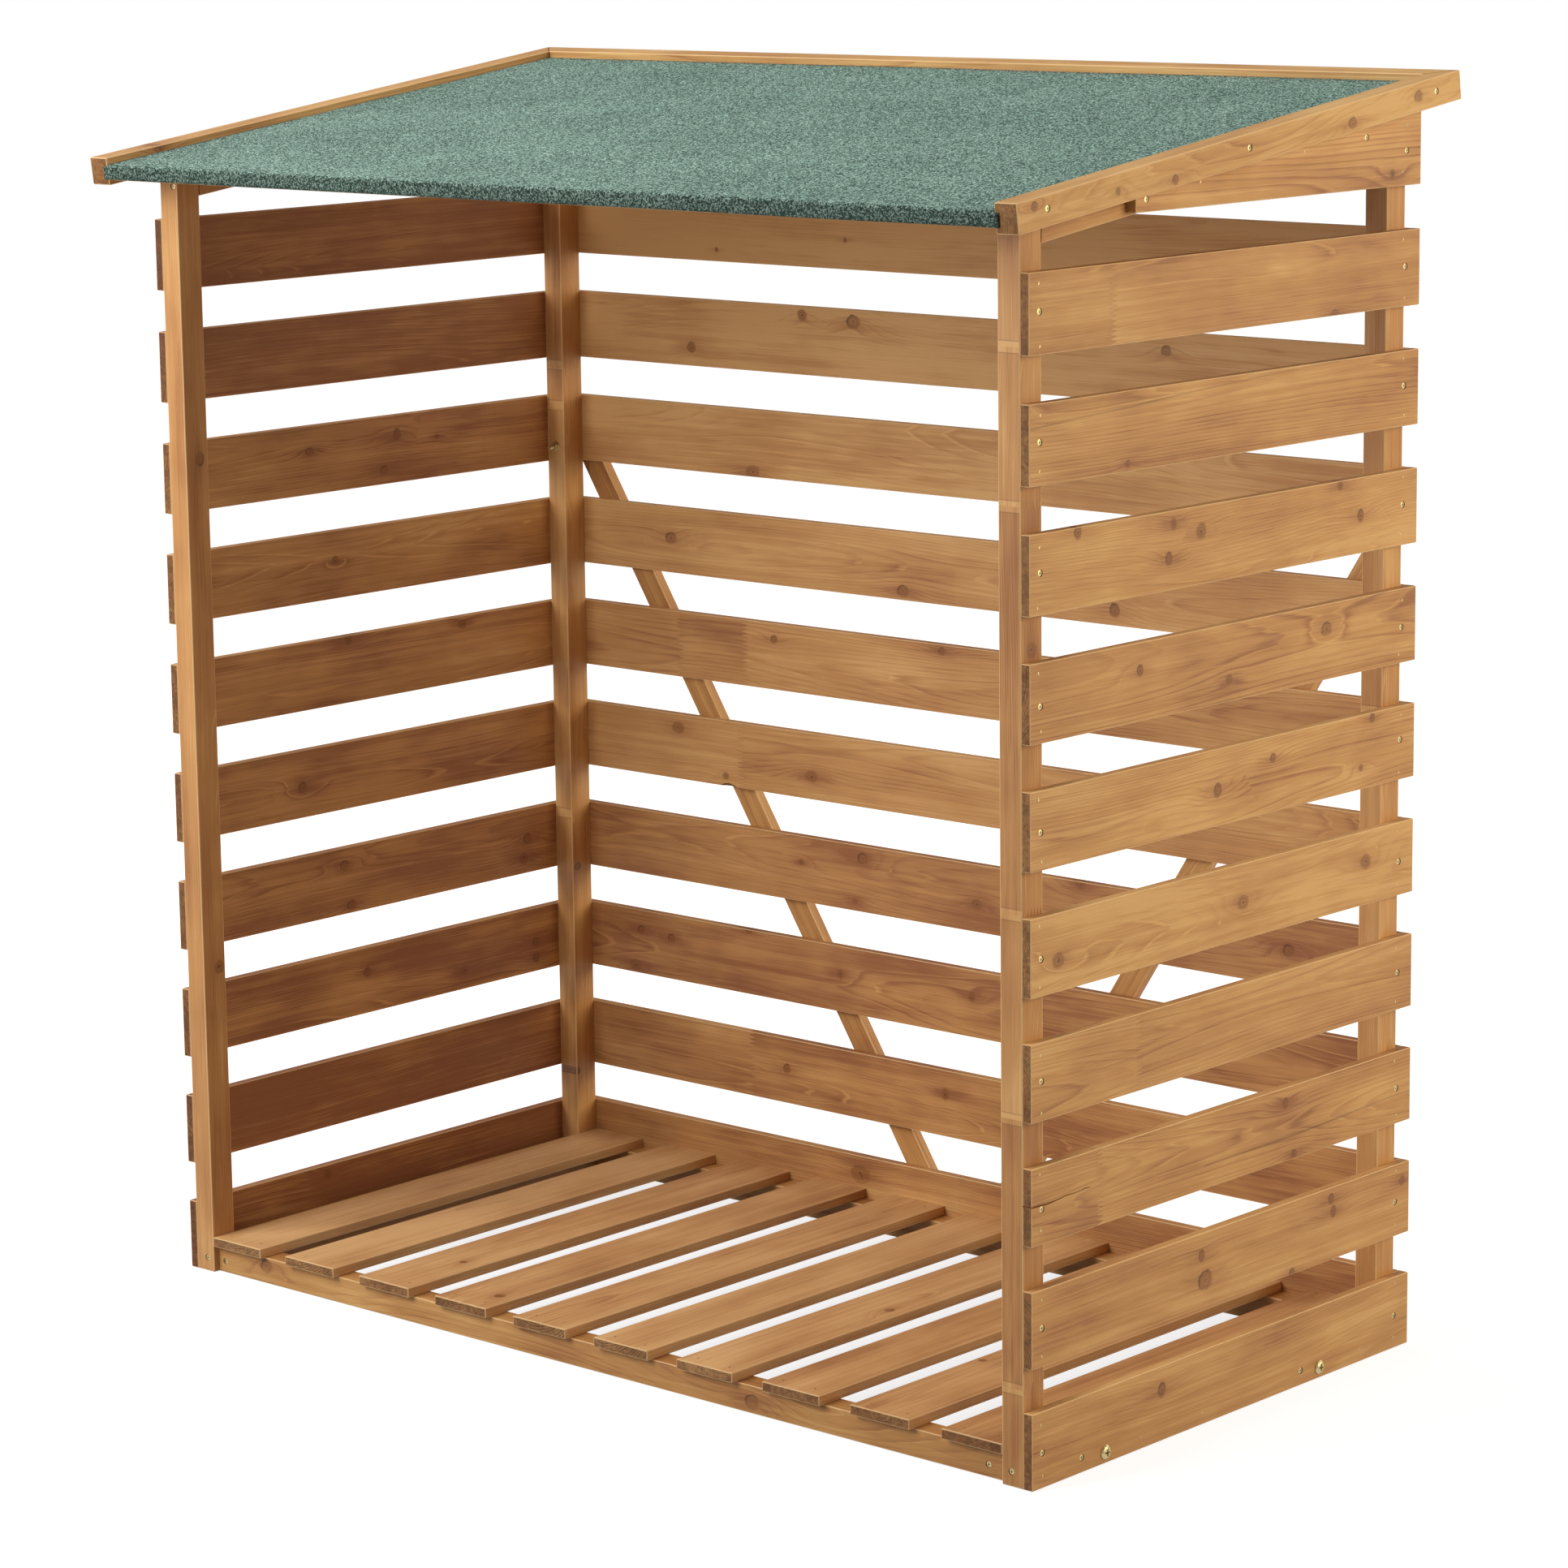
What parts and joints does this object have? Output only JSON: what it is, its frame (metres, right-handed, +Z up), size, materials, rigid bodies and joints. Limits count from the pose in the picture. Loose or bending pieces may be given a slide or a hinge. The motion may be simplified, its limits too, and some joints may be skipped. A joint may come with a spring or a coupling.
{
  "type": "log store",
  "caption": "Open-fronted slatted softwood log store with a slatted floor, a pent roof under mineral felt and a V-shaped pair of back braces.",
  "frame": {"origin": "centre of the whole object's footprint, at ground level under the post feet", "axes": "+X to the right seen from the open front, +Y to the back wall, +Z up"},
  "size_m": [1.394, 0.7716, 1.4492],
  "materials": {
    "post_wood": "satin",
    "slat_wood": "satin",
    "frame_wood": "satin",
    "floor_wood": "satin",
    "edge_wood": "satin",
    "deck_wood": "satin",
    "zinc_fixings": "zinc plated",
    "mineral_felt": "matte"
  },
  "bodies": {
    "root": {"front_left_post": "post_wood", "front_right_post": "post_wood", "back_left_post": "post_wood", "back_right_post": "post_wood", "left_bottom_rail": "frame_wood", "right_bottom_rail": "frame_wood", "left_top_rail": "frame_wood", "right_top_rail": "frame_wood", "left_wall_slats": "slat_wood", "right_wall_slats": "slat_wood", "back_wall_slats": "slat_wood", "left_top_slat": "slat_wood", "right_top_slat": "slat_wood", "floor_front_rail": "frame_wood", "floor_back_rail": "frame_wood", "floor_left_rail": "frame_wood", "floor_right_rail": "frame_wood", "floor_board_1": "floor_wood", "floor_board_2": "floor_wood", "floor_board_3": "floor_wood", "floor_board_4": "floor_wood", "floor_board_5": "floor_wood", "floor_board_6": "floor_wood", "floor_board_7": "floor_wood", "floor_board_8": "floor_wood", "floor_board_9": "floor_wood", "floor_board_10": "floor_wood", "left_back_brace": "frame_wood", "right_back_brace": "frame_wood", "roof_deck": "deck_wood", "roof_felt": "mineral_felt", "left_roof_edge": "edge_wood", "right_roof_edge": "edge_wood", "back_roof_edge": "edge_wood"}
  },
  "joints": []
}
